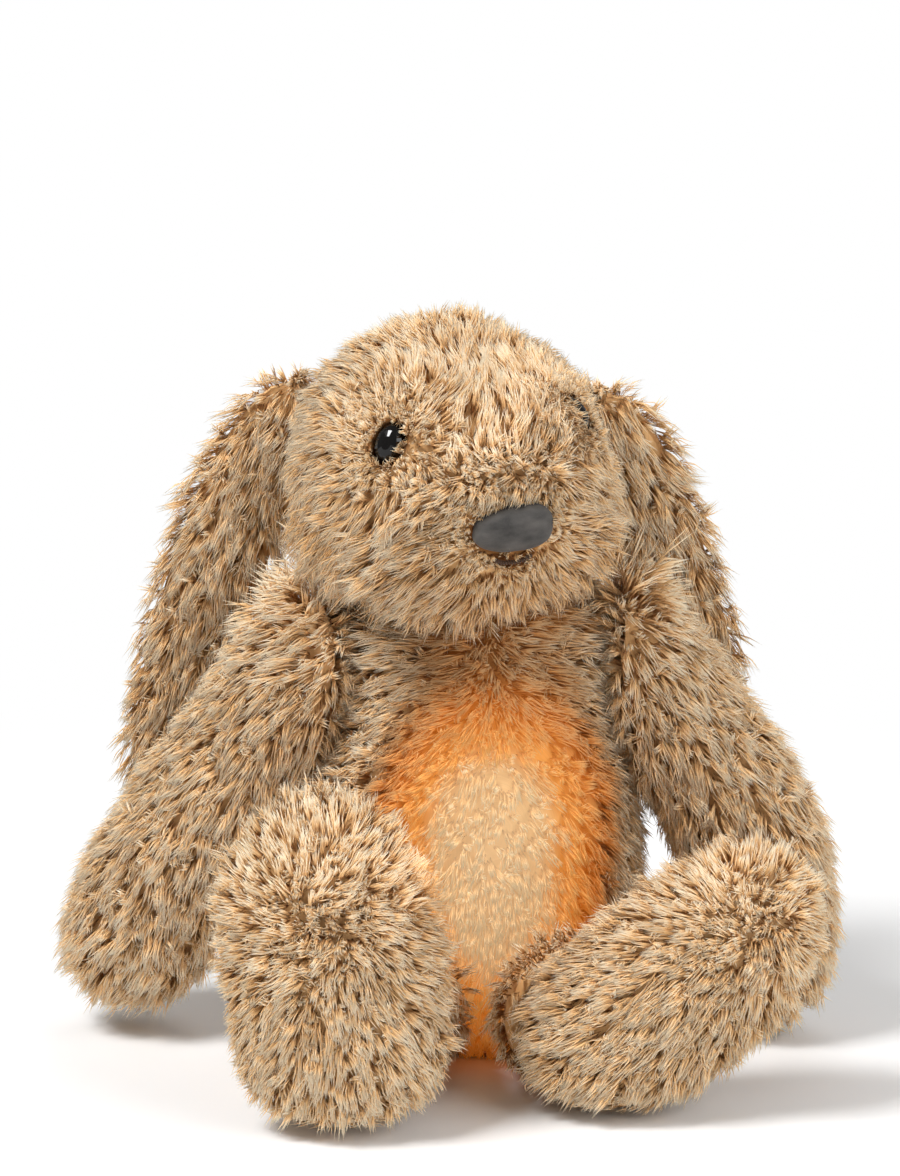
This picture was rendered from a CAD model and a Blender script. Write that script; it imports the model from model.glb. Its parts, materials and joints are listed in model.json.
"""A sitting plush night light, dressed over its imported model: pile, cloth, face and light unit."""
import json
import math

import bmesh
import bpy
import numpy as np
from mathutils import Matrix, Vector, noise
from mathutils.bvhtree import BVHTree

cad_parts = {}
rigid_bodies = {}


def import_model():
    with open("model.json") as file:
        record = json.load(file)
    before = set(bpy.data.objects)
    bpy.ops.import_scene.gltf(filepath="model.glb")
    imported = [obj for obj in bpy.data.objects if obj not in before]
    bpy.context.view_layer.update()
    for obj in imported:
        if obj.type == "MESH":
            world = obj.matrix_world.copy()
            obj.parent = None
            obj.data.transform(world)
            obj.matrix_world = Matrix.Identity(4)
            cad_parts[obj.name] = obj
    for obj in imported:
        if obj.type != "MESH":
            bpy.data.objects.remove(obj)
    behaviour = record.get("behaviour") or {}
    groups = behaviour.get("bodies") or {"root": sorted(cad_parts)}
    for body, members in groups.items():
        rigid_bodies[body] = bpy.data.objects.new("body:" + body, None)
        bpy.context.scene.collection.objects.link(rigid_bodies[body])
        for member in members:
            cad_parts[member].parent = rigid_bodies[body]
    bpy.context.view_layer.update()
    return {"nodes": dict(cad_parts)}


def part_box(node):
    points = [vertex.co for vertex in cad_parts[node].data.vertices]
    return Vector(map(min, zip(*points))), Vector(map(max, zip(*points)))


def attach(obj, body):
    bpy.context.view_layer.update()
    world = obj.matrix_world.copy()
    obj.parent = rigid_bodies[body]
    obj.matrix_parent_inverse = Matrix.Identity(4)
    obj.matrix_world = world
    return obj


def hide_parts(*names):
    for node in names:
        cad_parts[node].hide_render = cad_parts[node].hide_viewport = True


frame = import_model()
scene = bpy.context.scene


# ---- Case of the light unit ----------------------------------------------------------------
# Two moulded halves of pale plastic with a fine spark-eroded grain, screwed together round the
# board and the battery bay. The back half and its door show when the pocket is open.
class Wire:
    """A socket of a node tree, so that its maths can be written as a sum or a product."""

    def __init__(self, graph, socket):
        self.graph, self.socket = graph, socket

    def __getitem__(self, name):
        return Wire(self.graph, self.socket.node.outputs[name])

    def __add__(self, other):
        return self.graph.maths("ADD", self, other)

    def __sub__(self, other):
        return self.graph.maths("SUBTRACT", self, other)

    def __rsub__(self, other):
        return self.graph.maths("SUBTRACT", other, self)

    def __mul__(self, other):
        return self.graph.maths("MULTIPLY", self, other)

    def __truediv__(self, other):
        return self.graph.maths("DIVIDE", self, other)

    def __rtruediv__(self, other):
        return self.graph.maths("DIVIDE", other, self)

    __radd__ = __add__
    __rmul__ = __mul__


class Graph:
    """A node tree, of a material or of Geometry Nodes, that nodes are added to by one method."""

    def __init__(self, tree):
        self.tree = tree

    def feed(self, entry, value):
        if isinstance(value, Wire):
            self.tree.links.new(value.socket, entry)
        else:
            entry.default_value = value

    def node(self, kind, sockets=None, out=0, **settings):
        made = self.tree.nodes.new(kind)
        for key, value in settings.items():
            if key == "stops":
                ramp = made.color_ramp.elements
                while len(ramp) < len(value):
                    ramp.new(1.0)
                for stop, (place, shade) in zip(ramp, value):
                    stop.position, stop.color = place, shade
            else:
                setattr(made, key, value)
        for key, value in (sockets or {}).items():
            self.feed(made.inputs[key], value)
        return Wire(self, made.outputs[out]) if len(made.outputs) else made

    def maths(self, operation, *values):
        return self.node("ShaderNodeMath", dict(enumerate(values)), operation=operation)

    def vector(self, operation, *values, out=0, **sockets):
        return self.node("ShaderNodeVectorMath", dict(enumerate(values)) | sockets, out, operation=operation)

    def parts(self, vector):
        return self.node("ShaderNodeSeparateXYZ", {0: vector})

    def point(self, *values):
        return self.node("ShaderNodeCombineXYZ", dict(enumerate(values)))

    def mix(self, factor, one, other, blend="MIX"):
        inputs = {0: factor, 6: one, 7: other}
        return self.node("ShaderNodeMix", inputs, out=2, data_type="RGBA", blend_type=blend)

    def ramp(self, factor, *stops):
        """Colours between stops, each a place from 0 to 1 and the colour there."""
        stops = [(place, (*shade[:3], 1.0)) for place, shade in stops]
        return self.node("ShaderNodeValToRGB", {"Fac": factor}, stops=stops)

    def noise(self, place, scale, detail=2.0, out="Fac", **sockets):
        inputs = {"Vector": place, "Scale": scale, "Detail": detail, **sockets}
        return self.node("ShaderNodeTexNoise", inputs, out)


class Finish(Graph):
    """One material with its shader, whose sockets take a colour, a number or a wire."""

    def __init__(self, name, **sockets):
        self.material = bpy.data.materials.new(name)
        self.material.use_nodes = True
        super().__init__(self.material.node_tree)
        self.tree.nodes.clear()
        self.shader = self.node("ShaderNodeBsdfPrincipled")
        self.output = self.tree.nodes.new("ShaderNodeOutputMaterial")
        self.surface(self.shader)
        self.set(**sockets)
        self.place = self.node("ShaderNodeTexCoord", out="Object")

    def surface(self, shader):
        self.feed(self.output.inputs["Surface"], shader)

    def set(self, **sockets):
        for key, value in sockets.items():
            self.feed(self.shader.socket.node.inputs[key.replace("_", " ")], value)

    def bump(self, height, strength, distance):
        relief = {"Height": height, "Strength": strength, "Distance": distance}
        self.set(Normal=self.node("ShaderNodeBump", relief))


def colour(red, green, blue):
    """A colour as it shows, from 0 to 255, in the linear values that a shader takes."""
    shown = (value / 255 for value in (red, green, blue))
    return tuple(v / 12.92 if v < 0.04045 else ((v + 0.055) / 1.055) ** 2.4 for v in shown) + (1.0,)


def darker(plain, share):
    return tuple(share * v for v in plain[:3]) + (1.0,)


def moulded(name, plain, rough=0.42, grain=0.3):
    """Injection-moulded plastic: a fine grain, and faint flow marks in the colour."""
    finish = Finish(name, IOR=1.49)
    flow = finish.noise(finish.place, scale=55.0, detail=3.0)
    fine = finish.noise(finish.place, scale=2600.0)
    finish.set(Base_Color=finish.mix(flow, plain, darker(plain, 0.86)), Roughness=rough + 0.16 * fine)
    finish.bump(fine, strength=grain, distance=0.00005)
    return finish.material


def paint(material, *names):
    for name in names:
        slots = frame["nodes"][name].data.materials
        slots.clear()
        slots.append(material)


paint(moulded("case_plastic", colour(238, 234, 224)), "case_front", "case_back", "battery_door")


# ---- Dome, bezel and board -----------------------------------------------------------------
# A milky dome is clipped under a white bezel and springs on the push switch. Behind it six warm
# lamps sit on a green board whose tracks show through the mask.
AXIS_HEIGHT, DOME_RADIUS = 0.085, 0.026  # m, the unit's middle above the floor, and its dome

milky = Finish("milky_dome", Roughness=0.34, IOR=1.49, Emission_Strength=1.0)
cloud = milky.noise(milky.place, scale=160.0, detail=3.0)
offset = milky.vector("SUBTRACT", milky.place, (0.0, 0.0, AXIS_HEIGHT))
off_axis = milky.vector("LENGTH", milky.vector("MULTIPLY", offset, (1.0, 0.0, 1.0)), out="Value")
milky.set(
    Base_Color=milky.mix(cloud, colour(252, 244, 224), colour(240, 226, 198)),
    Emission_Color=milky.ramp(
        off_axis / DOME_RADIUS + 0.12 * (cloud - 0.5),
        (0.0, (1.0, 0.66, 0.32)), (0.55, (0.8, 0.42, 0.14)), (1.0, (0.3, 0.1, 0.02)),
    ),
)
milky.bump(cloud, strength=0.1, distance=0.0002)
paint(milky.material, "diffuser_dome")
white_plastic = moulded("white_plastic", colour(236, 235, 230), rough=0.36)
paint(white_plastic, "lens_bezel", "push_switch", "switch_plunger")

board = Finish("green_board", Roughness=0.3, IOR=1.5)
face_on = board.parts(board.place)
BLACK, WHITE = (0, 0, 0, 1), (1, 1, 1, 1)
tracks = board.node("ShaderNodeTexBrick", {
    "Vector": board.point(face_on["X"], face_on["Z"]), "Scale": 140.0,
    "Mortar Size": 0.06, "Color1": BLACK, "Color2": BLACK, "Mortar": WHITE,
}, "Fac", offset=0.37)
board.set(Base_Color=board.mix(
    board.noise(board.place, scale=90.0),
    board.mix(tracks, colour(24, 92, 60), colour(52, 128, 78)),
    board.mix(tracks, colour(18, 74, 48), colour(44, 112, 68)),
))
board.bump(tracks, strength=0.3, distance=0.00005)
paint(board.material, "led_board")

lamp_lens = Finish("warm_lamp", Roughness=0.12, IOR=1.5, Emission_Strength=2.0)
core = lamp_lens.noise(lamp_lens.place, scale=400.0, detail=1.0)
lamp_lens.set(
    Base_Color=lamp_lens.mix(core, colour(255, 196, 92), colour(255, 214, 130)),
    Emission_Color=lamp_lens.mix(core, (1.0, 0.55, 0.2, 1), (1.0, 0.64, 0.3, 1)),
)
paint(lamp_lens.material, *(f"led_{k}" for k in range(1, 7)))


# ---- Cells, contacts, screws and leads -----------------------------------------------------
# Three small cells in plain jackets lie between stamped plates and coil springs of plated steel.
# Cross-head screws close the case, and two thin leads run to the board and the switch.
def jacketed(name, cell):
    """A bare can at both ends, a dark jacket with a bright band near each, scuffed by handling."""
    low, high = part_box(cell)
    along = max(range(3), key=lambda k: high[k] - low[k])
    finish = Finish(name, IOR=1.5)
    share = (finish.parts(finish.place)["XYZ"[along]] - low[along]) * (1.0 / (high[along] - low[along]))
    can, jacket, band = colour(196, 197, 200), colour(52, 66, 84), colour(206, 208, 204)
    tone = finish.ramp(
        share, (0.0, can), (0.05, jacket), (0.14, band), (0.17, jacket), (0.9, band), (0.95, can)
    )
    tone.socket.node.color_ramp.interpolation = "CONSTANT"
    bare = finish.maths("GREATER_THAN", finish.maths("ABSOLUTE", share - 0.5), 0.45)
    scuff = finish.noise(finish.place, scale=300.0, detail=4.0)
    finish.set(
        Base_Color=finish.mix(0.25 * scuff, tone, colour(120, 126, 134)),
        Metallic=0.9 * bare, Roughness=0.25 + 0.2 * scuff,
    )
    finish.bump(scuff, strength=0.08, distance=0.0001)
    return finish.material


paint(jacketed("battery_jacket", "battery_1"), "battery_1", "battery_2", "battery_3")


def metal(name, plain, rough):
    """Plated steel: bright, drawn along one way, duller where it was handled."""
    finish = Finish(name, Metallic=1.0)
    drawn = finish.noise(finish.vector("MULTIPLY", finish.place, (1.0, 1.0, 9.0)), scale=700.0)
    dull = finish.noise(finish.place, scale=120.0, detail=3.0)
    finish.set(Base_Color=finish.mix(dull, plain, darker(plain, 0.72)), Roughness=rough + 0.18 * drawn)
    finish.bump(drawn, strength=0.12, distance=0.00005)
    return finish.material


steel = metal("plated_steel", colour(206, 206, 204), rough=0.2)
paint(steel, "door_screw", *(f"case_screw_{k}" for k in range(1, 5)))
paint(steel, *(f"contact_{part}_{k}" for part in ("plate", "spring") for k in range(1, 4)))
paint(steel, "eye_washer_right", "eye_washer_left")
black_plastic = moulded("black_plastic", colour(24, 24, 25), rough=0.4)
paint(black_plastic, "slide_switch", "mode_knob", "battery_lead")
paint(moulded("red_lead", colour(168, 26, 22), rough=0.38), "switch_lead")


# ---- Cloth and filling inside --------------------------------------------------------------
# The pocket is lined with calico. A sewn bag of beads weighs the seat, wadding fills the neck, and
# a panel of close brown cloth is stitched in under the seat.
def merged(*names):
    """CAD nodes as one welded mesh, in bmesh."""
    mesh = bmesh.new()
    for name in names:
        mesh.from_mesh(frame["nodes"][name].data)
    bmesh.ops.remove_doubles(mesh, verts=mesh.verts, dist=1e-6)
    bmesh.ops.recalc_face_normals(mesh, faces=mesh.faces)
    return mesh


def eased(mesh, verts):
    bmesh.ops.smooth_vert(mesh, verts=verts, factor=0.5, use_axis_x=True, use_axis_y=True, use_axis_z=True)


def saved(name, mesh):
    """A bmesh written to a mesh of that name, and freed."""
    data = bpy.data.meshes.new(name)
    mesh.to_mesh(data)
    mesh.free()
    return data


def fitted(name, data, body, node=None, material=None):
    """The object of a finished mesh: it rides on a body, and may stand for a CAD node."""
    if material:
        data.shade_smooth()
        data.materials.append(material)
    piece = bpy.data.objects.new(name, data)
    scene.collection.objects.link(piece)
    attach(piece, body)
    if node:
        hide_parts(node)
    return piece


def woven(name, plain, pitch, contrast=0.16):
    """Plain weave: warp over weft, with slubs and a slightly uneven dye."""
    finish = Finish(name, Roughness=0.86, Sheen_Weight=0.2)
    parts = finish.parts(finish.place)
    turns = 2 * math.pi / pitch
    warp = finish.maths("SINE", (parts + parts["Y"] * 0.83) * turns)
    weft = finish.maths("SINE", (parts["Z"] + 0.4 * parts["Y"]) * turns)
    thread = 0.5 + 0.5 * warp * weft
    slub = finish.noise(finish.place, scale=260.0, detail=3.0)
    uneven = 0.6 * thread + 0.4 * slub
    finish.set(Base_Color=finish.mix(uneven, darker(plain, 1 - 2 * contrast), plain))
    finish.bump(thread + 0.5 * slub, strength=0.5, distance=0.00018)
    return finish.material


BEADS_PER_METRE = 420.0


def cloth_over(name, node, material, body, crumple, fold, cuts=2, smooth=1, beads=0.0):
    """A cloth or stuffed piece in the place of its CAD solid, creased inwards so that it stays in it.
    crumple and beads are depths in metres, and fold is how many creases a metre takes."""
    mesh = merged(node)
    bmesh.ops.subdivide_edges(mesh, edges=mesh.edges, cuts=cuts, use_grid_fill=True)
    for _ in range(smooth):
        eased(mesh, mesh.verts)
    bmesh.ops.triangulate(mesh, faces=mesh.faces)
    mesh.normal_update()
    moves = []
    for vert in mesh.verts:
        crease = 0.5 + 0.5 * noise.noise(vert.co * fold)
        bead = noise.voronoi(vert.co * BEADS_PER_METRE)[0][0] if beads else 0.0
        moves.append(vert.normal * -(crumple * crease + beads * bead))
    for vert, move in zip(mesh.verts, moves):
        vert.co += move
    return fitted(name, saved(name, mesh), body, node, material)


def node_group(name, output, **inputs):
    """An empty Geometry Nodes tree with these inputs, as a graph, and its inputs."""
    tree = bpy.data.node_groups.new(name, "GeometryNodeTree")
    for key, kind in inputs.items():
        tree.interface.new_socket(key.replace("_", " "), in_out="INPUT", socket_type="NodeSocket" + kind)
    tree.interface.new_socket(output, in_out="OUTPUT", socket_type="NodeSocketGeometry")
    graph = Graph(tree)
    return graph, graph.node("NodeGroupInput")


def finished(graph, geometry, material):
    """Shaded smooth, in its material, and out of the tree."""
    smooth = graph.node("GeometryNodeSetShadeSmooth", {"Geometry": geometry})
    done = graph.node("GeometryNodeSetMaterial", {"Geometry": smooth, "Material": material})
    graph.node("NodeGroupOutput", {0: done})
    return graph.tree


def stitch_tree():
    """Geometry Nodes that lay a row of stitches along an edge loop."""
    graph, given = node_group(
        "Stitches", "Stitches", Seam="Geometry", Pitch="Float", Thread="Float", Finish="Material"
    )
    path = graph.node("GeometryNodeMeshToCurve", {"Mesh": given})
    path = graph.node("GeometryNodeResampleCurve", {"Curve": path, "Length": given["Pitch"]}, mode="LENGTH")
    along = graph.node("GeometryNodeInputTangent")
    turned = graph.node("FunctionNodeAlignRotationToVector", {"Vector": along}, axis="X")
    stitch = graph.node("GeometryNodeMeshUVSphere", {"Segments": 6, "Rings": 5, "Radius": 0.5})
    size = graph.point(0.74 * given["Pitch"], given["Thread"], given["Thread"])
    laid = graph.node(
        "GeometryNodeInstanceOnPoints",
        {"Points": path, "Instance": stitch, "Rotation": turned, "Scale": size},
    )
    laid = graph.node("GeometryNodeRealizeInstances", {"Geometry": laid})
    return finished(graph, laid, given["Finish"])


stitch_nodes = stitch_tree()


def grown(name, data, tree, values):
    """The plain mesh that a Geometry Nodes tree makes of a mesh, with its inputs set by identifier."""
    holder = bpy.data.objects.new(name + "_base", data)
    scene.collection.objects.link(holder)
    modifier = holder.modifiers.new(name, "NODES")
    modifier.node_group = tree
    for item in tree.interface.items_tree:
        if item.in_out == "INPUT" and item.name in values:
            modifier[item.identifier] = values[item.name]
    made = bpy.data.meshes.new_from_object(holder.evaluated_get(bpy.context.evaluated_depsgraph_get()))
    bpy.data.objects.remove(holder)
    made.name = name
    return made


def thread_finish(name, plain):
    """Spun thread: plies wound round it, a little fluff."""
    finish = Finish(name, Roughness=0.8, Sheen_Weight=0.15)
    winding = (9000.0, 9000.0, 12000.0)  # radians a metre
    ply = finish.maths("SINE", finish.vector("DOT_PRODUCT", finish.place, winding, out="Value"))
    finish.set(Base_Color=finish.mix(0.5 + 0.5 * ply, darker(plain, 0.6), plain))
    finish.bump(ply, strength=0.3, distance=0.0001)
    return finish.material


brown_thread = thread_finish("brown_thread", colour(92, 62, 38))


def stitches(name, loop, pitch, thread, body):
    seam = bpy.data.meshes.new(name + "_seam")
    count = len(loop)
    seam.from_pydata([tuple(p) for p in loop], [(k, (k + 1) % count) for k in range(count)], [])
    sewn = grown(name, seam, stitch_nodes, {"Pitch": pitch, "Thread": thread, "Finish": brown_thread})
    return fitted(name, sewn, body)


def rounded(half_wide, half_high, corner, steps=10):
    """A rectangle with round corners, as points in its own plane."""
    points = []
    for quarter in range(4):
        middle_x = (half_wide - corner) * (1 if quarter in (0, 3) else -1)
        middle_y = (half_high - corner) * (1 if quarter < 2 else -1)
        for step in range(steps):
            turn = math.pi / 2 * (quarter + step / (steps - 1))
            points.append((middle_x + corner * math.cos(turn), middle_y + corner * math.sin(turn)))
    return points


calico = woven("calico", colour(226, 214, 190), pitch=0.0007)
lining = cloth_over(
    "pocket_lining_cloth", "pocket_lining", calico, "torso", crumple=0.0002, fold=90.0,
    cuts=1, smooth=0,
)
bead_bag = cloth_over(
    "bead_bag_cloth", "bead_bag", calico, "torso", crumple=0.0008, fold=55.0,
    smooth=2, beads=0.0006,
)

wadding = Finish("white_wadding", Roughness=0.95, Sheen_Weight=0.3)
wisp = wadding.noise(wadding.place, scale=380.0, detail=6.0, Distortion=1.2)
wadding.set(Base_Color=wadding.mix(wisp, colour(246, 244, 240), colour(212, 208, 200)))
wadding.bump(wisp, strength=0.8, distance=0.0006)
neck_wadding = cloth_over(
    "neck_wadding", "neck_fill", wadding.material, "neck", crumple=0.0012, fold=150.0
)

SEAT_STITCH_INSET, SEAT_STITCH_UP, SEAT_CORNER = 0.0025, 0.00045, 0.009  # m
seat_cloth = woven("seat_cloth", colour(170, 128, 88), pitch=0.0009)
seat_panel = cloth_over(
    "seat_cloth_panel", "seat_panel", seat_cloth, "torso", crumple=0.0001, fold=60.0, smooth=0
)
low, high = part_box("seat_panel")
seat_loop = rounded(high.x - SEAT_STITCH_INSET, high.y - SEAT_STITCH_INSET, SEAT_CORNER)
seat_loop = [(x, y, low.z + SEAT_STITCH_UP) for x, y in seat_loop]
stitches("seat_stitches", seat_loop, pitch=0.0034, thread=0.0007, body="torso")


# ---- Fur -----------------------------------------------------------------------------------
# Long tan plush pile, knitted into its backing: each lock is a bundle of crimped strands, brown at
# the root and cream at the tip, combed along the piece when it was sewn and brushed.
PILE_LENGTH = 0.0130  # m, a lock pulled straight
STRAND_WIDTH, HAIR_WIDTH = 0.00088, 0.00055  # m, a bundle of fibres in a lock, and a few that split off
SKIN_DEPTH = 0.0034  # m, the backing lies this far under the solid, which has the outline of the tips
STRANDS, HAIRS = 4, 4  # in one tuft
TUFT_KINDS = 6
ROOT_REACH, ROOT_WIDE, ROOT_SUNK = 0.09, 0.0011, 0.06  # of a strand: off along X, m off along Y, sunk
BEND_AT, SPINDLE_THICK = 0.46, 0.024  # where a strand bends, and its thickness there
LONG_TO_A_SQUARE, YOUNG_TO_A_SQUARE = 2.5, 0.7  # most tufts on a square with the spacing as its side
LOCKS_PER_METRE = 165.0  # locks are gathered in cells about 6 mm across
GATHER = 65.0  # how far hairs turn to their lock's middle, for each metre that they stand off it
POINT, HALF_WAY = 1.0, 0.5  # marks along a hair, from 0 at its root, that its colour is taken from
FACE_MARGIN, FACE_FINENESS = 0.007, 0.0014  # m, how far round eyes and nose the skin is fine, and how fine
rng = np.random.default_rng(11)


def unit(v):
    return v / np.maximum(np.linalg.norm(v, axis=-1, keepdims=True), 1e-9)


def tuft_mesh(name):
    """One tuft of unit length that leaves its root along Z and bends over to X, as closed spindles.
    Only what lies across it, along Y, is in metres, as an instance's scale stretches the rest."""
    verts, faces, marks = [], [], []
    total = STRANDS + HAIRS

    def spindle(root, middle, tip, width, low, half, band):
        first = len(verts)
        verts.append(root)
        for corner in range(3):
            around = 2 * math.pi * corner / 3 + math.pi / 2
            ring = [0.0, 0.5 * width * math.cos(around), SPINDLE_THICK * math.sin(around)]
            verts.append(middle + np.array(ring))
        verts.append(tip)
        for corner in range(3):
            a, b = first + 1 + corner, first + 1 + (corner + 1) % 3
            left, right = band + corner / (3 * total), band + (corner + 0.9) / (3 * total)
            faces.extend([(first, b, a), (a, b, first + 4)])
            marks.extend([((left + right) / 2, low), (right, half), (left, half)])
            marks.extend([(left, half), (right, half), ((left + right) / 2, POINT)])

    # A strand goes up first and then over. A hair starts higher and is straighter.
    for strand in range(STRANDS):
        turn, off = rng.uniform(0, 2 * math.pi), rng.uniform(0.2, 1.0)
        root = np.array([ROOT_REACH * off * math.cos(turn), ROOT_WIDE * off * math.sin(turn), -ROOT_SUNK])
        long, lift, wide = rng.uniform(0.72, 1.1), rng.uniform(0.8, 1.12), rng.uniform(0.8, 1.2)
        side = -root[1] * rng.uniform(0.1, 0.8) + rng.normal(0, 0.0005)
        bend, tip = (
            root + np.array([
                long * (0.34 * at + 0.66 * at**2), side * at, long * lift * (1.6 * at - 0.75 * at**2)
            ])
            for at in (BEND_AT, 1.0)
        )
        spindle(root, bend, tip, STRAND_WIDTH * wide, 0.1, HALF_WAY, strand / total)
    for hair in range(HAIRS):
        side = rng.uniform(-1, 1)
        root = np.array([rng.uniform(0.0, 0.2), 0.0008 * side, rng.uniform(0.0, 0.3)])
        tip = np.array([
            rng.uniform(0.7, 1.2), 0.0013 * side + rng.normal(0, 0.0006), rng.uniform(0.55, 1.15)
        ])
        bend = 0.5 * (root + tip) + np.array([0.0, rng.normal(0, 0.0002), rng.uniform(0.08, 0.22)])
        spindle(root, bend, tip, HAIR_WIDTH, 0.3, 0.62, (STRANDS + hair) / total)
    mesh = bpy.data.meshes.new(name)
    mesh.from_pydata([tuple(v) for v in verts], [], faces)
    layer = mesh.uv_layers.new(name="OFBake")
    layer.data.foreach_set("uv", [value for mark in marks for value in mark])
    return mesh


tufts = bpy.data.collections.new("tufts")
for kind in range(TUFT_KINDS):
    tufts.objects.link(bpy.data.objects.new(f"tuft_{kind}", tuft_mesh(f"tuft_{kind}")))


def pile_tree():
    """Geometry Nodes that set tufts over a skin, along the comb stored on its vertices."""
    graph, given = node_group(
        "Pile", "Fur", Skin="Geometry", Spacing="Float", Length="Float", Width="Float", Swirl="Float",
        Tint_Width="Float", Floor="Float", Seed="Int", Finish="Material",
    )

    def stored(name, kind="FLOAT"):
        return graph.node("GeometryNodeInputNamedAttribute", {"Name": name}, data_type=kind)

    def kept(geometry, name, value, kind="FLOAT", domain="POINT"):
        inputs = {"Geometry": geometry, "Name": name, "Value": value}
        return graph.node("GeometryNodeStoreNamedAttribute", inputs, data_type=kind, domain=domain)

    def chance(low, high, kind, seed):
        at = {"FLOAT_VECTOR": 0, "FLOAT": 2, "INT": 4}[kind]
        inputs = {at: low, at + 1: high, 8: given["Seed"] + seed}
        return graph.node("FunctionNodeRandomValue", inputs, at // 2, data_type=kind)

    def joined(*pieces):
        every = graph.node("GeometryNodeJoinGeometry")
        for one in pieces:
            graph.tree.links.new(one.socket, every.socket.node.inputs[0])
        return every

    def scaled(vector, by):
        return graph.vector("SCALE", vector, Scale=by)

    def centred(vector):
        return graph.vector("SUBTRACT", vector, (0.5, 0.5, 0.5))

    # Long pile at even distances, and young, short pile at random under it.
    square = given["Spacing"] * given["Spacing"]
    points = graph.node("GeometryNodeDistributePointsOnFaces", {
        "Mesh": given["Skin"], "Distance Min": given["Spacing"], "Density Max": LONG_TO_A_SQUARE / square,
        "Density Factor": stored("thick"), "Seed": given["Seed"],
    }, distribute_method="POISSON")
    young = graph.node("GeometryNodeDistributePointsOnFaces", {
        "Mesh": given["Skin"], "Density": stored("under") * stored("thick") * YOUNG_TO_A_SQUARE / square,
        "Seed": given["Seed"] + 40,
    }, distribute_method="RANDOM")
    points = joined(kept(young, "young", 1.0), points)
    short = stored("young")

    # A hair lies along the comb, swirled with its neighbours, turned to its lock and a little astray.
    place = graph.node("GeometryNodeInputPosition")
    broad = centred(graph.noise(place, scale=70.0, detail=1.0, out="Color"))
    close = centred(graph.noise(place, scale=240.0, detail=0.0, out="Color"))
    swirl = graph.vector("ADD", broad, close)
    cell = graph.node("ShaderNodeTexVoronoi", {"Vector": place, "Scale": LOCKS_PER_METRE})
    chosen, edge = graph.parts(cell["Color"]), cell["Distance"]
    gather = scaled(graph.vector("SUBTRACT", cell["Position"], place), GATHER)
    kink = scaled(centred(cell["Color"]), 0.7 * given["Swirl"])
    stray = chance((-0.4,) * 3, (0.4,) * 3, "FLOAT_VECTOR", 1)
    comb = scaled(stored("comb", "FLOAT_VECTOR"), 1.0 - 0.6 * short)
    lay = graph.vector("ADD", comb, scaled(swirl, given["Swirl"]))
    lay = graph.vector("ADD", lay, scaled(stray, given["Swirl"] + 2.0 * short))
    lay = graph.vector("ADD", lay, graph.vector("ADD", gather, kink))
    out = stored("out", "FLOAT_VECTOR")
    upright = graph.node("FunctionNodeAlignRotationToVector", {"Vector": out}, axis="Z")
    turned = graph.node(
        "FunctionNodeAlignRotationToVector", {"Rotation": upright, "Vector": lay}, axis="X", pivot_axis="Z"
    )

    # Flat where the comb is strong. Some locks are longer, and hairs at a lock's edge shorter and darker.
    flat = graph.vector("LENGTH", comb, out="Value")
    wave = graph.noise(place, scale=110.0, detail=1.0)
    bunch = 0.6 * (wave - 0.5) + 0.36 * (chosen["Y"] - 0.5) - 0.15 * (edge - 0.35)
    long = given["Length"] * stored("pile") * chance(0.85, 1.15, "FLOAT", 2) * (1.0 - 0.35 * short)
    reach = long * (0.3 + 0.7 * flat) * (1.0 + 0.5 * bunch)
    rise_by = long * (1.0 - 0.58 * flat) * (1.0 + 1.1 * bunch)
    tone = 0.5 * (chosen["Z"] - 0.5) - 0.6 * (edge - 0.38) + chance(-0.16, 0.16, "FLOAT", 3)
    points = kept(points, "shade", stored("shade") + given["Tint Width"] * tone)
    kinds = graph.node(
        "GeometryNodeCollectionInfo",
        {"Collection": tufts, "Separate Children": True, "Reset Children": True},
    )
    locks = graph.node("GeometryNodeInstanceOnPoints", {
        "Points": points, "Instance": kinds, "Pick Instance": True,
        "Instance Index": chance(0, TUFT_KINDS - 1, "INT", 4), "Rotation": turned,
        "Scale": graph.point(reach, given["Width"], rise_by),
    })
    locks = graph.node("GeometryNodeRealizeInstances", {"Geometry": locks})
    drawn = graph.parts(stored("OFBake", "FLOAT_VECTOR"))
    band = graph.maths("MINIMUM", graph.maths("MAXIMUM", stored("shade"), 0.0), 0.99) + 0.008 * drawn["X"]
    locks = kept(locks, "OFBake", graph.point(band, drawn["Y"]), "FLOAT2", "CORNER")

    # Above the floor by a hair, however far a lock would have reached under it.
    near_floor, gap = 0.0010, 0.0003
    soft = near_floor - gap
    here = graph.parts(graph.node("GeometryNodeInputPosition"))
    low = here["Z"] - given["Floor"] - near_floor
    pressed = given["Floor"] + gap + soft * graph.maths("EXPONENT", low / soft)
    locks = graph.node("GeometryNodeSetPosition", {
        "Geometry": locks,
        "Selection": graph.node("FunctionNodeCompare", {0: low, 1: 0.0}, operation="LESS_THAN"),
        "Position": graph.point(here["X"], here["Y"], pressed),
    })
    return finished(graph, joined(locks, given["Skin"]), given["Finish"])


fur_tree = pile_tree()


def rise(value, start, over):
    """0 up to start, then evenly up to 1, which is reached this much further on."""
    return np.clip((value - start) / over, 0, 1)


def close_to(place, middle, reach):
    """1 at the middle and fading away from it, with the same reach all round or one for each axis."""
    return np.exp(-(((place - np.array(middle)) / reach) ** 2).sum(1))


def surface_tree(*names, mesh=None):
    """CAD nodes, and a mesh beside them, as a tree that finds what is nearest or met by a ray."""
    solid = merged(*names)
    if mesh:
        solid.from_mesh(mesh)
    tree = BVHTree.FromBMesh(solid)
    solid.free()
    return tree


def distance_to(tree, place):
    return np.array([tree.find_nearest(Vector(p))[3] for p in place])


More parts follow.
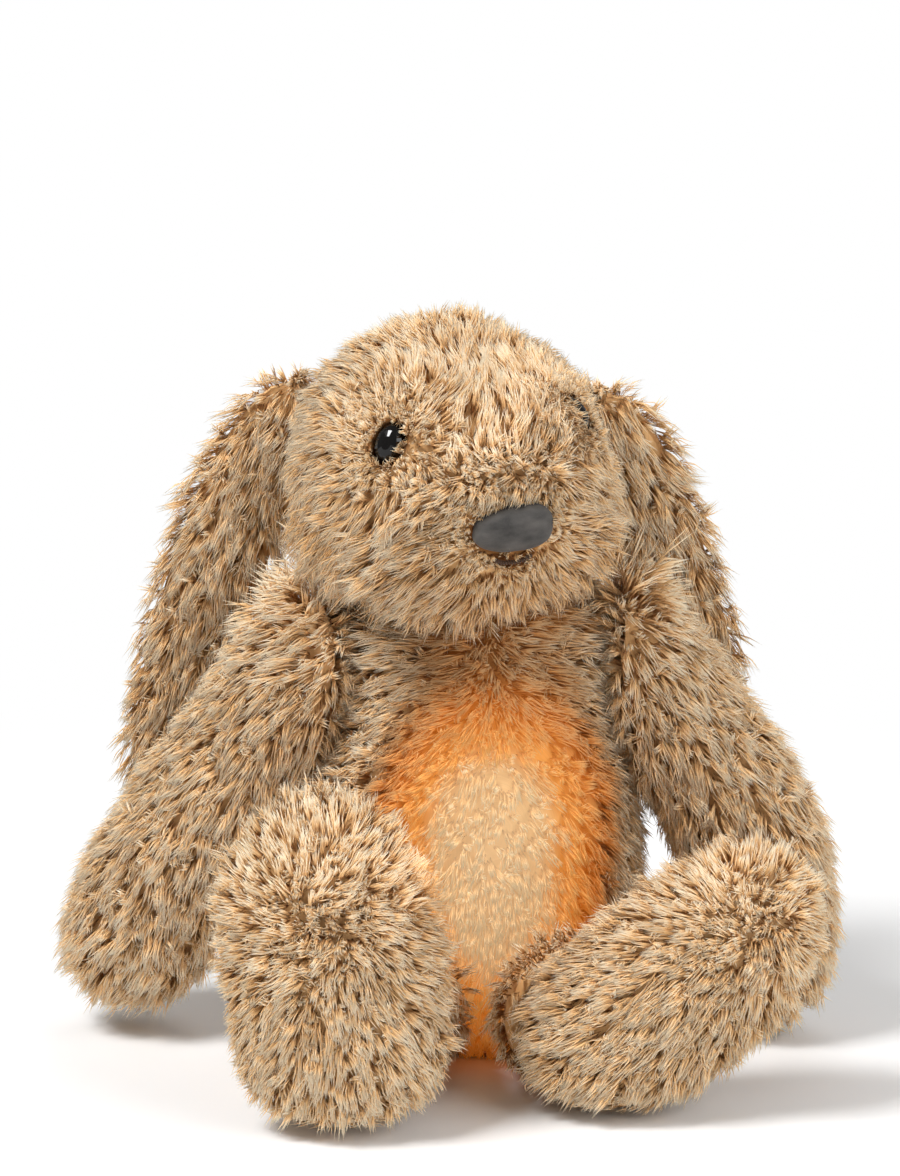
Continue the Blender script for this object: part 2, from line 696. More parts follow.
def pile_skin(node, cuts, features, half):
    """The surface of a CAD node, finer round the features, and cut along the middle where half is 1,
    for the front, or -1, for the back. The edges of the cut are returned too."""
    mesh = merged(node)
    bmesh.ops.subdivide_edges(mesh, edges=mesh.edges, cuts=cuts, use_grid_fill=True)
    eased(mesh, [v for v in mesh.verts if not features or features.find_nearest(v.co)[3] > FACE_MARGIN])
    if features:
        bmesh.ops.triangulate(mesh, faces=mesh.faces)
    for _ in range(4 if features else 0):
        long = [
            e for e in mesh.edges if e.calc_length() > FACE_FINENESS
            and features.find_nearest((e.verts[0].co + e.verts[1].co) / 2)[3] < FACE_MARGIN
        ]
        for edge in long:
            middle = bmesh.utils.edge_split(edge, edge.verts[0], 0.5)[1]
            for loop in list(middle.link_loops):
                bmesh.utils.face_split(loop.face, middle, loop.link_loop_next.link_loop_next.vert)
    lid = []
    bmesh.ops.triangulate(mesh, faces=mesh.faces)
    if half:
        everything = [*mesh.verts, *mesh.edges, *mesh.faces]
        cut = bmesh.ops.bisect_plane(
            mesh, geom=everything, dist=1e-7, plane_co=(0, 0, 0), plane_no=(0, half, 0), clear_outer=True
        )
        bmesh.ops.triangulate(mesh, faces=mesh.faces)
        lid = [e for e in cut["geom_cut"] if isinstance(e, bmesh.types.BMEdge) and e.is_valid]
    mesh.normal_update()
    mesh.verts.index_update()
    return mesh, lid


PARTED, WIDE_OPEN = 18, 50  # per metre, where the comb starts to part, and how much more bares the skin
BARE_HEIGHT = 0.012  # m above the floor, where the pile is sat on and no young pile shows


def young_pile(mesh, place, lay, pile, woolly):
    """How thick young pile stands: at partings and crowns, where the pile is short, or at least woolly."""
    ends = np.array([[v.index for v in e.verts] for e in mesh.edges])
    apart = place[ends[:, 1]] - place[ends[:, 0]]
    spread = ((lay[ends[:, 1]] - lay[ends[:, 0]]) * apart).sum(1) / np.maximum((apart**2).sum(1), 1e-7)
    parting, touching = np.zeros(len(place)), np.zeros(len(place))
    for end in (0, 1):
        np.add.at(parting, ends[:, end], spread)
        np.add.at(touching, ends[:, end], 1)
    touching = np.maximum(touching, 1)
    under = rise(2 * (parting / touching), PARTED, WIDE_OPEN)
    for _ in range(3):
        sums = np.zeros(len(place))
        for one, other in ((0, 1), (1, 0)):
            np.add.at(sums, ends[:, one], under[ends[:, other]])
        under = np.maximum(under, 0.9 * sums / touching)
    return np.maximum(under, np.clip(1.7 - 2 * pile, woolly, 1)) * (place[:, 2] > BARE_HEIGHT)


PRESSED, REGROWN = 0.8, 0.010  # share of the pile's length against a neighbour, and m for each 1.0 more
CLEAR_EDGE = 0.004  # m, over which young pile comes back round a clear place


def fur(name, node, body, comb, near=(), finish=None, spacing=0.0019, width=1.0, swirl=0.42,
        cuts=1, half=0, tint=1.0, seed=1, features=None, clear=(), woolly=0.3):
    """One furred piece over a CAD node. comb(place, normal) gives each vertex its lay, and may give the
    pile's share of full length, the thickness of growth, the shade, and the share of the skin's depth.
    The pile is shorter near the nodes in near, and no young pile grows round the points in clear."""
    mesh, lid = pile_skin(node, cuts, features, half)
    place = np.array([v.co for v in mesh.verts])
    out = np.array([v.normal for v in mesh.verts])
    combed = {"pile": 1.0, "thick": 1.0, "shade": 0.5, "inset": 1.0} | comb(place, out)
    lay = combed["lay"]
    pile, thick, shade, inset = (
        combed[key] + np.zeros(len(place)) for key in ("pile", "thick", "shade", "inset")
    )
    if near:
        far = distance_to(surface_tree(*near), place)
        pile = pile * np.clip(PRESSED + far / REGROWN, PRESSED, 1.0)
    lay = lay - out * (lay * out).sum(1, keepdims=True)
    lay = lay / np.maximum(np.linalg.norm(lay, axis=1, keepdims=True), 1.0)
    under = young_pile(mesh, place, lay, pile, woolly) * (2 if features else 1)
    for middle, radius in clear:
        under = under * rise(np.linalg.norm(place - middle, axis=1), radius, CLEAR_EDGE)
    if lid:
        bmesh.ops.triangle_fill(mesh, use_beauty=True, edges=lid, normal=(0, half, 0))
    bare = [
        half and f.normal.dot(Vector((0, half, 0))) > 0.999 and abs(f.calc_center_median().y) < 1e-5
        for f in mesh.faces
    ]
    skin = place - out * (SKIN_DEPTH * inset)[:, None]
    for vert, where in zip(mesh.verts, skin):
        vert.co = where
    data = saved(name + "_skin", mesh)
    faces = np.array([tuple(p.vertices) for p in data.polygons])
    thick = np.where(bare, 0.0, (thick[faces].mean(1) > 0.5) * 1.0)
    for key, values in (
        ("comb", lay), ("out", out), ("pile", pile), ("under", under), ("shade", shade), ("thick", thick),
    ):
        kind, field = ("FLOAT_VECTOR", "vector") if values.ndim == 2 else ("FLOAT", "value")
        layer = data.attributes.new(key, kind, "FACE" if key == "thick" else "POINT")
        layer.data.foreach_set(field, np.ascontiguousarray(values, np.float32).ravel())

    # The skin's own colour: its shade across, and on the second axis how far up a hair it would be.
    corners = faces.ravel()
    where = skin[corners]
    across, along = where[:, 0] + 0.37 * where[:, 1], where[:, 2] + 0.41 * where[:, 1]
    band = np.clip(shade[corners] + tint * ((across - across.min()) / np.ptp(across) - 0.5), 0, 1)
    bottom = 0.4 + 0.25 * np.clip(1 - pile[corners], 0, 0.8)
    if features:
        bottom = bottom - 0.6 * np.clip(1 - shade[corners] / 0.5, 0, 1)
    marks = np.stack([band, bottom + 0.09 * (along - along.min()) / np.ptp(along)], 1)
    data.uv_layers.new(name="OFBake").data.foreach_set("uv", marks.ravel())
    coat = grown(name, data, fur_tree, {
        "Spacing": spacing, "Length": PILE_LENGTH, "Width": width, "Swirl": swirl, "Tint Width": tint,
        "Floor": 0.0, "Seed": seed, "Finish": finish or tan_fur,
    })
    for key in ("comb", "out", "pile", "thick", "shade", "under", "young"):
        if key in coat.attributes:
            coat.attributes.remove(coat.attributes[key])
    fitted(name, coat, body, node)


ROOT, MID = colour(158, 104, 52), colour(222, 170, 110)
TAN, TIP = colour(250, 208, 152), colour(255, 243, 218)
LOCK_TONES, STRAND_TONES = 90.0, 480.0  # how many tones the range of shades has, for locks and strands


def pile_finish(name, gathered=True):
    """Pile dyed tan: colour runs from root to tip, and no two locks or strands are quite alike."""
    finish = Finish(name, Roughness=0.75, IOR=1.3, Sheen_Weight=0.06, Sheen_Roughness=0.5)
    drawn = finish.parts(finish.node("ShaderNodeUVMap", uv_map="OFBake"))
    shade, along = drawn["X"], drawn["Y"]
    lock = finish.noise(finish.point(LOCK_TONES * shade, 0.8 * along), scale=1.0, detail=1.0)
    strand = finish.noise(finish.point(STRAND_TONES * shade, 3.0 * along), scale=1.0, detail=0.0)
    length = finish.ramp(along + 0.14 * (lock - 0.5), (0.05, ROOT), (0.32, MID), (0.6, TAN), (0.9, TIP))
    streak = finish.mix(strand, (0.91, 0.9, 0.885, 1.0), (1.08, 1.08, 1.08, 1.0))
    tone = finish.mix(1.0, length, streak, "MULTIPLY")
    if gathered:
        valley = finish.ramp(
            shade, (0.0, (0.74, 0.66, 0.56)), (0.4, (0.93, 0.9, 0.86)), (0.8, (1.04, 1.04, 1.04))
        )
        tone = finish.mix(1.0, tone, valley, "MULTIPLY")
    finish.set(Base_Color=tone)
    return finish, shade, along, tone


tan_fur = pile_finish("tan_fur")[0].material


# ---- Torso ---------------------------------------------------------------------------------
# One sewn bag of pile fabric, firm with filling. The front is lit from inside by the dome: cream
# where the lamp is close behind the cloth, orange round it where the light has to pass the filling.
BELLY = np.array([0.001, -0.045, 0.081])  # m, where the lamp is closest behind the pile
GLOW_WIDE, GLOW_ABOVE, GLOW_BELOW = 0.041, 0.055, 0.086  # m, where the halo fades out
ANY = np.inf  # a reach that leaves an axis out
ARMPIT = ((0.038, 0, 0.152), (0.013, ANY, 0.013))  # m, where long pile fills the gap to each arm
FLANK = ((-0.052, 0, 0.088), (0.012, ANY, 0.014))  # m, and beside the right foot
PROBE_OUT, PROBE_IN, THICKEST = 0.0025, 0.0015, 0.03  # m, where the rays for the wall start and end

torso_tree = surface_tree("torso")


def torso_comb(place, out):
    inner, wall = [], []
    for point, normal in zip(place, out):
        met, facing = torso_tree.ray_cast(Vector(point + PROBE_OUT * normal), Vector(normal), 0.2)[:2]
        inner.append(met is not None and facing.dot(Vector(normal)) < 0)
        through = torso_tree.ray_cast(Vector(point - PROBE_IN * normal), Vector(-normal), THICKEST)[3]
        wall.append(THICKEST if through is None else through + PROBE_IN)
    inner, wall = np.array(inner), np.array(wall)
    away, height = place - BELLY, place[:, 2]

    # Parted at the belly and combed down, but laid flat and short where the toy sits on it.
    parted = rise(np.linalg.norm(away * (1, 0, 0.6), axis=1), 0, 0.03)[:, None]
    lay = unit(away * (1, 0.2, 0.8)) * 0.7 * parted + np.array([0.0, 0.0, -0.75])
    seat = (height < BARE_HEIGHT) & (out[:, 2] < 0)
    front = close_to(place, BELLY, (0.03, ANY, 0.05)) * (out[:, 1] < 0)
    shaggy = close_to(np.abs(place), *ARMPIT) + close_to(place, *FLANK)
    lay = unit(lay) * np.where(seat, 1.0, 0.8)[:, None] * (1 - 0.6 * shaggy[:, None])
    lay = lay + np.array([0.0, -0.1, 0.4]) * shaggy[:, None]
    pile = np.where(seat, 0.5, 0.85 - 0.2 * front + 0.35 * rise(height, 0.13, 0.02)) + 0.8 * shaggy

    # The halo, 0 at its middle: the light reaches further over the chest, and less far beside the lamp.
    high = np.where(away[:, 2] > 0, GLOW_ABOVE, GLOW_BELOW)
    radius = np.sqrt((away[:, 0] / GLOW_WIDE) ** 2 + (away[:, 2] / high) ** 2)
    chest = rise(away[:, 2], 0, 0.05) * np.exp(-((away[:, 0] / 0.036) ** 4))
    beside = np.exp(-((away[:, 2] / 0.045) ** 2)) * rise(radius, 0.85, 1)
    lit = np.clip(0.8 * radius + 0.7 * beside, 0, 1 - 0.18 * chest)
    return {
        "lay": lay, "pile": pile, "shade": np.where(out[:, 1] < 0.2, lit, 1.0),
        "thick": np.where(inner | (out[:, 2] < -0.8), 0.0, 1.0),
        "inset": np.where(inner, 0.0, np.clip(0.45 * wall / SKIN_DEPTH, 0.1, 1.0)),
    }


def glowing_finish():
    """The tan pile, lit through from behind: its own light over the halo, and its dye toned down there."""
    finish, radius, along, tone = pile_finish("glowing_fur", gathered=False)
    light = finish.ramp(
        radius, (0.0, (0.33, 0.27, 0.17)), (0.33, (0.33, 0.245, 0.135)), (0.48, (0.36, 0.15, 0.028)),
        (0.64, (0.22, 0.06, 0.003)), (0.85, (0, 0, 0)),
    )
    dye = finish.ramp(
        radius, (0.33, (0.74, 0.7, 0.64)), (0.48, (0.74, 0.54, 0.3)), (0.7, (0.74, 0.54, 0.34)),
        (0.82, (0.58, 0.44, 0.3)), (0.9, (1, 1, 1)),
    )
    finish.set(
        Base_Color=finish.mix(1.0, tone, dye, "MULTIPLY"),
        Emission_Color=finish.mix(0.12 * along, light, BLACK),
        Emission_Strength=1.0,
    )
    return finish.material


glowing_fur = glowing_finish()
fur("torso_front", "torso", "torso", torso_comb,
    ("arm_right", "arm_left", "foot_right", "foot_left", "head", "leg_right", "leg_left"),
    glowing_fur, spacing=0.0018, tint=0.06, swirl=0.4, seed=2, half=1)
fur("torso_back", "torso", "torso", torso_comb,
    ("arm_right", "arm_left", "head", "ear_left", "ear_right", "pocket_flap", "tail"), seed=3, half=-1,
    spacing=0.0021, woolly=0.0)


# ---- Limbs ---------------------------------------------------------------------------------
# Arms, legs and feet are stuffed tubes of the same cloth, each closed by hand where it joins the
# torso. The pile runs down the arms and spreads from the middle of each sole.
SHAGGY_REACH = 0.015  # m, how far the long pile over a shoulder seam spreads
SOLE_SPREAD = 0.05  # m, where the whorl on a sole lies flat
FLOOR_BAND = 0.010  # m, what rests on the floor


def down_the_limb(place, start):
    """Along a limb from its seam: its direction, the way out from its middle line, and the share of it."""
    away = np.linalg.norm(place - start, axis=1)
    edges = np.linspace(0, away.max() + 1e-6, 9)
    middles, stations = [], []
    for low, high in zip(edges, edges[1:]):
        inside = (away >= low) & (away < high)
        if inside.sum() > 3:
            stations.append((low + high) / 2)
            middles.append(place[inside].mean(0))
    middles = np.array(middles)
    slopes = np.gradient(middles, stations, axis=0)
    axis, tangent = (
        np.stack([np.interp(away, stations, line[:, k]) for k in range(3)], 1) for line in (middles, slopes)
    )
    return unit(tangent), unit(place - axis), away / away.max()


def limb_comb(seam, gap, towards=(0.0, -0.1, 0.4), inset=1.0, least=0.15, sunk=0.0, full=1.0, top=1.3,
              lift=0.9, erect=0.4):
    """Pile that runs down a limb or ear. Over the seam at its start it is of another length, top, and
    stands up by erect. Round gap, beside a neighbour, it is long and laid towards it. The skin lies at
    inset, nearer the surface at the seam, by least, and sunk there if the seam is to be hidden."""
    outwards = np.array([math.copysign(0.7, seam[0]), -0.3, lift])

    def comb(place, out):
        tangent, aside, share = down_the_limb(place, np.array(seam))
        crown = np.exp(-((share / 0.11) ** 2))[:, None]
        lay = unit(tangent + 0.2 * aside + np.array([0, 0, -0.2]) + 1.8 * crown * outwards)
        shaggy = close_to(place, gap, SHAGGY_REACH)[:, None]
        lay = lay * (0.78 - erect * crown) * (1 - 0.7 * shaggy) + np.array(towards) * shaggy
        return {
            "lay": lay, "pile": full + (top - full) * crown[:, 0] + 1.2 * shaggy[:, 0],
            "shade": 0.64 + 0.3 * crown[:, 0],
            "inset": inset * np.clip(share / 0.16, least, 1.0) + sunk * np.exp(-((share / 0.3) ** 2)),
        }
    return comb


def on_floor(place, out):
    return (place[:, 2] < FLOOR_BAND) & (out[:, 2] < -0.2)


def foot_comb(centre):
    """Pile in a whorl round the middle of the sole, shorter and deeper set on the outer side."""
    def comb(place, out):
        away = place - np.array(centre)
        far = np.linalg.norm(away, axis=1)
        whorl = np.cross(unit(away), np.array([0.0, -1.0, 0.0]))
        lay = unit(unit(away) + 0.8 * whorl * (1 - rise(far, 0, 0.03)[:, None]))
        lay = lay * np.clip(0.3 + far / SOLE_SPREAD, 0.3, 0.82)[:, None]
        low = on_floor(place, out)
        lay[low] = unit(lay[low] * (1, 1, 0))
        outer = rise(math.copysign(1, centre[0]) * away[:, 0], 0.008, 0.012)
        return {"lay": lay, "pile": np.where(low, 0.45, 0.82 - 0.12 * outer), "inset": 1.5 + 0.5 * outer}
    return comb


def leg_comb(place, out):
    lay = np.tile([0.0, -0.7, -0.2], (len(place), 1))
    return {"lay": lay, "pile": np.where(on_floor(place, out), 0.4, 0.8), "inset": 0.6}


for seed, side, seam, gap in (
    (4, "right", (-0.0577, -0.0027, 0.1352), (-0.068, 0.0, 0.161)),
    (5, "left", (0.0444, -0.0009, 0.1359), (0.040, 0.0, 0.161)),
):
    fur(f"arm_{side}_fur", f"arm_{side}", f"arm_{side}", limb_comb(seam, gap),
        ("torso", "head", f"ear_{side}", f"foot_{side}", f"leg_{side}"), seed=seed)
for seed, side, centre in ((6, "right", (-0.052, -0.108, 0.072)), (7, "left", (0.085, -0.098, 0.070))):
    fur(f"foot_{side}_fur", f"foot_{side}", f"leg_{side}", foot_comb(centre),
        ("torso", f"arm_{side}", f"leg_{side}"), seed=seed, spacing=0.00165)
for seed, side in ((8, "right"), (9, "left")):
    fur(f"leg_{side}_fur", f"leg_{side}", f"leg_{side}", leg_comb, ("torso", f"foot_{side}"),
        seed=seed, spacing=0.0027, woolly=0.0)


# ---- Face ----------------------------------------------------------------------------------
# Two black safety eyes, turned and polished, a pad of grey velour for the nose, sewn on flat, and a
# short line of twisted brown thread under it.
eye = Finish("black_eye", IOR=1.5, Specular_IOR_Level=0.45)
depth = eye.noise(eye.place, scale=120.0)
eye.set(Base_Color=eye.mix(depth, colour(4, 3, 3), colour(12, 8, 6)), Roughness=0.03 + 0.05 * depth)
paint(eye.material, "eye_right", "eye_left")

NOSE_OUTLINE = (  # mm from the middle, seen from the front
    (-13.6, -0.8), (-12.2, 3.3), (-8.6, 5.4), (-2.8, 6.8), (3.2, 7.4), (9.2, 6.9), (12.2, 5.0), (13.4, 1.6),
    (13.1, -2.8), (11.4, -5.6), (7.2, -7.3), (0.2, -7.7), (-5.6, -6.9), (-10.4, -5.0), (-12.9, -3.0),
)
NOSE_THICK, NOSE_DENT, NOSE_DENT_WIDE = 0.0037, 0.0004, 3.0  # m, m and mm: the pad, and a crease down it
NOSE_MIDDLE = Vector((0.0066, -0.0636, 0.1890))
NOSE_RIGHT, NOSE_UP = Vector((0.94, 0.34, 0.09)), Vector((-0.01, -0.22, 0.97))
NOSE_OUT = Vector((0.35, -0.91, -0.21)).normalized()


def rounded_path(points, rounds):
    """A closed outline with its corners cut until it is smooth."""
    for _ in range(rounds):
        points = [
            tuple(a * (1 - t) + b * t for a, b in zip(one, other))
            for one, other in zip(points, points[1:] + points[:1])
            for t in (0.25, 0.75)
        ]
    return points


def closed_over(name, *shells):
    """A mesh of closed shells, each skinned over rings of points that all have the same count."""
    points, faces = [], []
    for rings in shells:
        first, count = len(points), len(rings[0])
        points += [tuple(point) for ring in rings for point in ring]
        for here in range(first, len(points) - count, count):
            for k in range(count):
                after = (k + 1) % count
                faces.append((here + k, here + after, here + after + count, here + k + count))
        faces.append(tuple(range(first, first + count))[::-1])
        faces.append(tuple(range(len(points) - count, len(points))))
    data = bpy.data.meshes.new(name)
    data.from_pydata(points, [], faces)
    return data


outline = rounded_path(list(NOSE_OUTLINE), rounds=2)
steps = [(0.97, -0.0030), (1.0, -0.0012)]  # the share of the outline, and m in front of its middle
steps += [
    (math.cos(turn) ** 0.7, NOSE_THICK * math.sin(turn) ** 0.9) for turn in np.linspace(0.15, 1.45, 9)
]
rings = []
for wide, out_by in steps:
    ring = []
    for x, y in outline:
        dent = NOSE_DENT * math.exp(-(x / NOSE_DENT_WIDE) ** 2) * wide
        flat_on = NOSE_MIDDLE + NOSE_RIGHT * x * 1e-3 * wide + NOSE_UP * y * 1e-3 * wide
        ring.append(flat_on + NOSE_OUT * (out_by - dent))
    rings.append(ring)
nose_data = closed_over("nose_pad", rings)
velour = Finish("grey_nose", Roughness=0.75, Sheen_Weight=0.12, Sheen_Roughness=0.4)
nap = velour.noise(velour.place, scale=2600.0, detail=3.0)
brushed = velour.noise(velour.vector("MULTIPLY", velour.place, (1.0, 1.0, 2.2)), scale=120.0, detail=3.0)
velour.set(Base_Color=velour.mix(0.3 * nap + 1.5 * brushed - 0.45, colour(38, 36, 34), colour(96, 92, 88)))
velour.bump(nap, strength=0.5, distance=0.00012)
fitted("nose_pad", nose_data, "head", "nose", velour.material)

MOUTH = (  # mm, along the mouth from the left
    (12.5, -59.6, 180.1), (10.0, -60.3, 178.5), (7.9, -61.2, 178.0), (5.5, -61.8, 177.9), (3.1, -62.9, 177.9),
    (0.8, -64.0, 179.0),
)
PLIES, TWISTS, PLY_RADIUS, PLY_SIDES = 2, 7, 0.00042, 6
middle = np.array(MOUTH) * 1e-3
stations = np.linspace(0, len(middle) - 1, 90)
line = np.stack([np.interp(stations, range(len(middle)), middle[:, k]) for k in range(3)], 1)
for _ in range(12):
    line[1:-1] = (line[:-2] + 2 * line[1:-1] + line[2:]) / 4
tangents = unit(np.gradient(line, axis=0))
over = unit(np.cross(tangents, np.array([0.0, 0.0, 1.0])))
upward = np.cross(tangents, over)
plies = []
for ply in range(PLIES):
    turn = TWISTS * 2 * math.pi * np.linspace(0, 1, len(line)) + 2 * math.pi * ply / PLIES
    centre = line + PLY_RADIUS * (over * np.cos(turn)[:, None] + upward * np.sin(turn)[:, None])
    around = [2 * math.pi * side / PLY_SIDES for side in range(PLY_SIDES)]
    plies.append([
        [middle + PLY_RADIUS * (aside * math.cos(angle) + up * math.sin(angle)) for angle in around]
        for middle, aside, up in zip(centre, over, upward)
    ])
tube = bmesh.new()
tube.from_mesh(closed_over("mouth_line", *plies))
bmesh.ops.recalc_face_normals(tube, faces=tube.faces)
fitted("mouth_stitch", saved("mouth_stitch", tube), "head", "mouth_thread", brown_thread)


# ---- Head and ears -------------------------------------------------------------------------
# The head is a firm ball with a full muzzle. The ears are flat, softly filled lops sewn on above
# the cheeks. Pile is brushed away from nose and eyes, and kept short round them.
NOSE = np.array([0.0064, -0.0660, 0.1908])
EYES = [np.array([-0.0324, -0.0535, 0.2150]), np.array([0.0250, -0.0340, 0.2203])]
BRIDGE = (-0.006, -0.062, 0.207)
EYE_CORNER = EYES[0] + np.array([0.0055, -0.002, -0.0045])  # pile from the bridge would hide the eye here
OVER_NOSE = NOSE + np.array([-0.0014, 0.0, 0.0096])  # pile is laid to the side here, off the pad
BESIDE_EYE = EYES[1] - np.array([0.008, 0.006, 0.0])  # and here, off the far eye
CHEEKS = (  # where they meet the ears: middle and reach, m
    ((-0.055, -0.02, 0.176), (0.022, 0.04, 0.018)), ((0.036, -0.01, 0.172), (0.014, 0.04, 0.018)),
)
face_tree = surface_tree("eye_right", "eye_left", "mouth_thread", mesh=nose_data)


def head_comb(place, out):
    beside, height = distance_to(face_tree, place), place[:, 2]
    from_nose = place - NOSE
    far = np.linalg.norm(from_nose, axis=1)
    bridge, socket = close_to(place, BRIDGE, 0.016), close_to(place, EYE_CORNER, 0.009)
    over_nose = close_to(place, OVER_NOSE, (0.014, 0.02, 0.006))
    over_eye = close_to(place, BESIDE_EYE, 0.008)
    cheek = sum(close_to(place, *spot) for spot in CHEEKS)
    jaw = rise(0.186 - height, 0, 0.02) * rise(far, 0.03, 0.02)
    summit = rise(height, 0.228, 0.02)

    # From the nose outwards, then back and down over the skull, and away from both eyes.
    lay = unit(from_nose) * (0.4 + close_to(place, NOSE, 0.03))[:, None]
    lay = lay + np.array([0.0, 0.35, -0.75]) * rise(far, 0.03, 0.05)[:, None]
    for eye in EYES:
        lay = lay + unit(place - eye) * (4.5 * close_to(place, eye, 0.017))[:, None]
    lay = lay + np.array([-0.5, -0.2, -1.0]) * (6 * over_nose)[:, None]
    lay = lay + np.array([1.0, -0.2, 0.25]) * (7 * over_eye)[:, None]

    # Flat and short round the features, and shaggy on the cheeks.
    flat = (0.85 - 0.3 * bridge) * np.clip(0.6 + beside / 0.010, 0.6, 1.0) - 0.25 * cheek
    flat = flat + (0.97 - flat) * np.clip(1.5 * socket, 0, 1)
    pile = np.clip(0.33 + beside / 0.020, 0.33, 1.0) * (1 - 0.25 * bridge) + 0.25 * jaw + 0.4 * cheek
    pile = (pile + 0.3 * over_eye + 0.1 * over_nose) * (1 - 0.4 * socket) - 0.15 * summit
    return {
        "lay": unit(lay) * flat[:, None], "pile": pile, "thick": np.where(beside < 0.001, 0.0, 1.0),
        "shade": 0.52 * np.clip(beside / 0.004, 0.1, 1),
        "inset": np.clip(0.3 + beside / 0.012, 0.3, 1.0) * (1 - cheek) + 1.0 * summit,
    }


fur("head_fur", "head", "head", head_comb, ("torso", "ear_right", "ear_left", "arm_right", "arm_left"),
    seed=10, spacing=0.00165, width=0.85, cuts=2, features=face_tree, clear=((EYE_CORNER, 0.0075),),
    woolly=0.0)
for seed, side, seam, gap, inwards in (
    (11, "right", (-0.0552, 0.0045, 0.2267), (-0.074, 0.0, 0.168), 1),
    (12, "left", (0.0269, 0.0101, 0.2226), (0.042, 0.0, 0.165), -1),
):
    comb = limb_comb(
        seam, gap, towards=(0.6 * inwards, -0.3, 0.0), inset=1.1, least=0.8, sunk=0.5, full=1.05, top=0.7,
        lift=-0.9, erect=0.2,
    )
    fur(f"ear_{side}_fur", f"ear_{side}", f"ear_{side}", comb, ("head", "torso", f"arm_{side}"), seed=seed)


# ---- Tail and pocket flap ------------------------------------------------------------------
# A round tail, gathered at its seam, and the flap of the back pocket: pile outside, calico inside,
# sewn on along its top edge, with a soft pad that holds it shut.
def tail_comb(place, out):
    return {"lay": unit(place - np.array([0.0, 0.068, 0.026])) * 0.5}


def flap_comb(place, out):
    outside = np.where(out[:, 1] > 0.1, 1.0, 0.0)
    lay = np.tile([0.0, 0.2, -0.85], (len(place), 1))
    return {"lay": lay, "pile": 0.8, "thick": outside, "inset": 0.6 * outside}


fur("tail_fur", "tail", "torso", tail_comb, ("torso",), seed=13)
fur("flap_fur", "pocket_flap", "flap", flap_comb, (), seed=14)
for tuft in list(tufts.objects):
    bpy.data.objects.remove(tuft)
bpy.data.collections.remove(tufts)

# The flap's calico lining, turned in and sewn all round.
LINING_THICK, LINING_LIFT, LINING_CREASE = 0.0004, 0.0001, 0.0002  # m
inside = merged("pocket_flap")
outer_faces = [f for f in inside.faces if f.normal.y > -0.35]
bmesh.ops.delete(inside, geom=outer_faces, context="FACES")
bmesh.ops.subdivide_edges(inside, edges=inside.edges, cuts=1, use_grid_fill=True)
bmesh.ops.triangulate(inside, faces=inside.faces)
inside.normal_update()
for vert in inside.verts:
    crease = 0.5 + 0.5 * noise.noise(vert.co * 160.0)
    vert.co += vert.normal * (LINING_LIFT + LINING_CREASE * crease)
bmesh.ops.solidify(inside, geom=inside.faces, thickness=-LINING_THICK)
bmesh.ops.recalc_face_normals(inside, faces=inside.faces)
flap_lining = fitted("flap_lining", saved("flap_lining", inside), "flap", material=calico)

foam = Finish("grey_foam", Roughness=0.92)
pore = foam.node("ShaderNodeTexVoronoi", {"Vector": foam.place, "Scale": 1300.0}, "Distance")
foam.set(Base_Color=foam.mix(pore, colour(84, 84, 88), colour(140, 140, 144)))
foam.bump(pore, strength=0.7, distance=0.0003)
flap_pad = cloth_over(
    "flap_pad_foam", "flap_pad", foam.material, "flap", crumple=0.0003, fold=80.0, smooth=0
)


# ---- Studio --------------------------------------------------------------------------------
# Plain white floor and backdrop. A soft lamp stands above the front left, a broad, weaker one at the
# front right and a weak one behind. A small warm one is the light that the belly throws on the feet.
TARGET = Vector((-0.0135, 0.0, 0.1565))
DISTANCE, ELEVATION, LENS = 1.1, math.radians(12), 99.9
FLOOR_HALF = 6  # m
WHITE_FROM, WHITE_BY = 0.17, 0.42  # m, between which the floor turns from lit to plain white
LAMPS_AT = Vector((0, 0, 0.11))

camera = bpy.data.objects.new("camera", bpy.data.cameras.new("camera"))
scene.collection.objects.link(camera)
camera.data.sensor_fit, camera.data.sensor_height, camera.data.lens = "VERTICAL", 36, LENS
camera.location = TARGET + DISTANCE * Vector((0, -math.cos(ELEVATION), math.sin(ELEVATION)))
camera.rotation_euler = (math.pi / 2 - ELEVATION, 0, 0)
scene.camera = camera

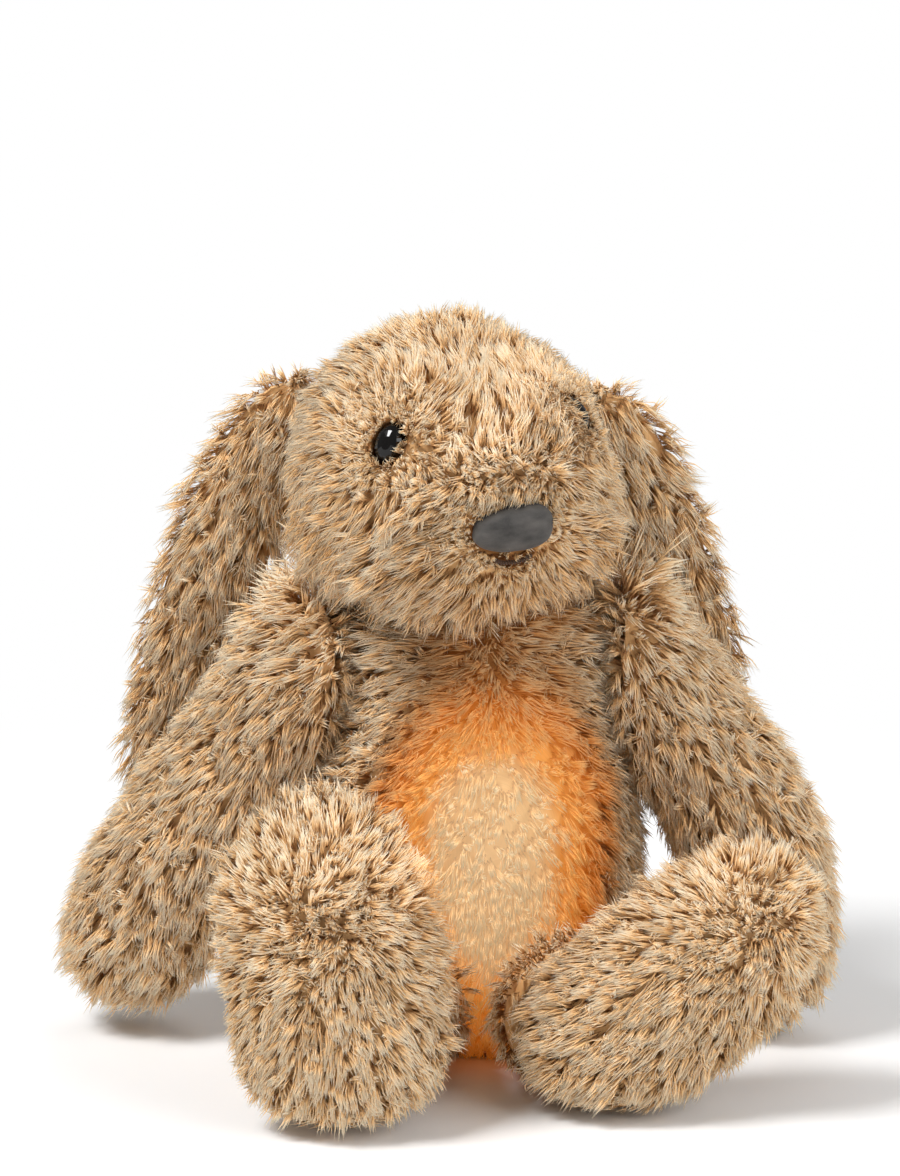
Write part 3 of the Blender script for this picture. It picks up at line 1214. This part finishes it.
floor_mesh = bpy.data.meshes.new("floor")
floor_mesh.from_pydata(
    [(x * FLOOR_HALF, y * FLOOR_HALF, 0) for x, y in ((-1, -1), (1, -1), (1, 1), (-1, 1))], [], [(0, 1, 2, 3)]
)
floor = bpy.data.objects.new("floor", floor_mesh)
scene.collection.objects.link(floor)
pale = Finish("pale_floor", Base_Color=colour(250, 250, 250), Roughness=0.9)
ray = pale.node("ShaderNodeLightPath", out="Is Camera Ray")
seen = pale.maths("MAXIMUM", pale.maths("MAXIMUM", ray, ray["Is Glossy Ray"]), ray["Is Transmission Ray"])
reach = pale.vector("LENGTH", pale.vector("MULTIPLY", pale.place, (1.0, 0.8, 1.0)), out="Value")
span = {0: reach, 1: WHITE_FROM, 2: WHITE_BY}
far = pale.node("ShaderNodeMapRange", span, interpolation_type="SMOOTHSTEP")
white = pale.node("ShaderNodeEmission", {"Color": WHITE, "Strength": 1.0})
pale.surface(pale.node("ShaderNodeMixShader", {0: far * seen, 1: pale.shader, 2: white}))
floor_mesh.materials.append(pale.material)

world = bpy.data.worlds.new("studio")
scene.world = world
world.use_nodes = True
sky = Graph(world.node_tree)
world.node_tree.nodes.clear()
ray = sky.node("ShaderNodeLightPath", out="Is Camera Ray")
seen = sky.maths("MAXIMUM", ray, ray["Is Transmission Ray"])
lit, shown = (
    sky.node("ShaderNodeBackground", {"Color": WHITE, "Strength": strength}) for strength in (0.26, 1.0)
)
sky.node("ShaderNodeOutputWorld", {
    "Surface": sky.node("ShaderNodeMixShader", {0: seen, 1: lit, 2: shown})
})


def lamp(name, kind, place, power, **settings):
    """A lamp, turned to the middle of the toy. Its power is in watts."""
    light = bpy.data.lights.new(name, kind)
    light.energy = power
    for key, value in settings.items():
        setattr(light, key, value)
    stand = bpy.data.objects.new(name, light)
    scene.collection.objects.link(stand)
    stand.location = place
    stand.rotation_euler = (LAMPS_AT - Vector(place)).to_track_quat("-Z", "Y").to_euler()


lamp("key", "AREA", (-0.9, -0.6, 1.6), 31.0, size=0.6)
lamp("fill", "AREA", (1.25, -0.85, 0.9), 15.5, size=1.2)
lamp("back", "AREA", (0.35, 0.95, 1.35), 5.0, size=1.0)
lamp("spill", "POINT", (-0.014, -0.097, 0.094), 0.012, shadow_soft_size=0.015, color=(1.0, 0.66, 0.36))

scene.view_settings.view_transform = "Standard"
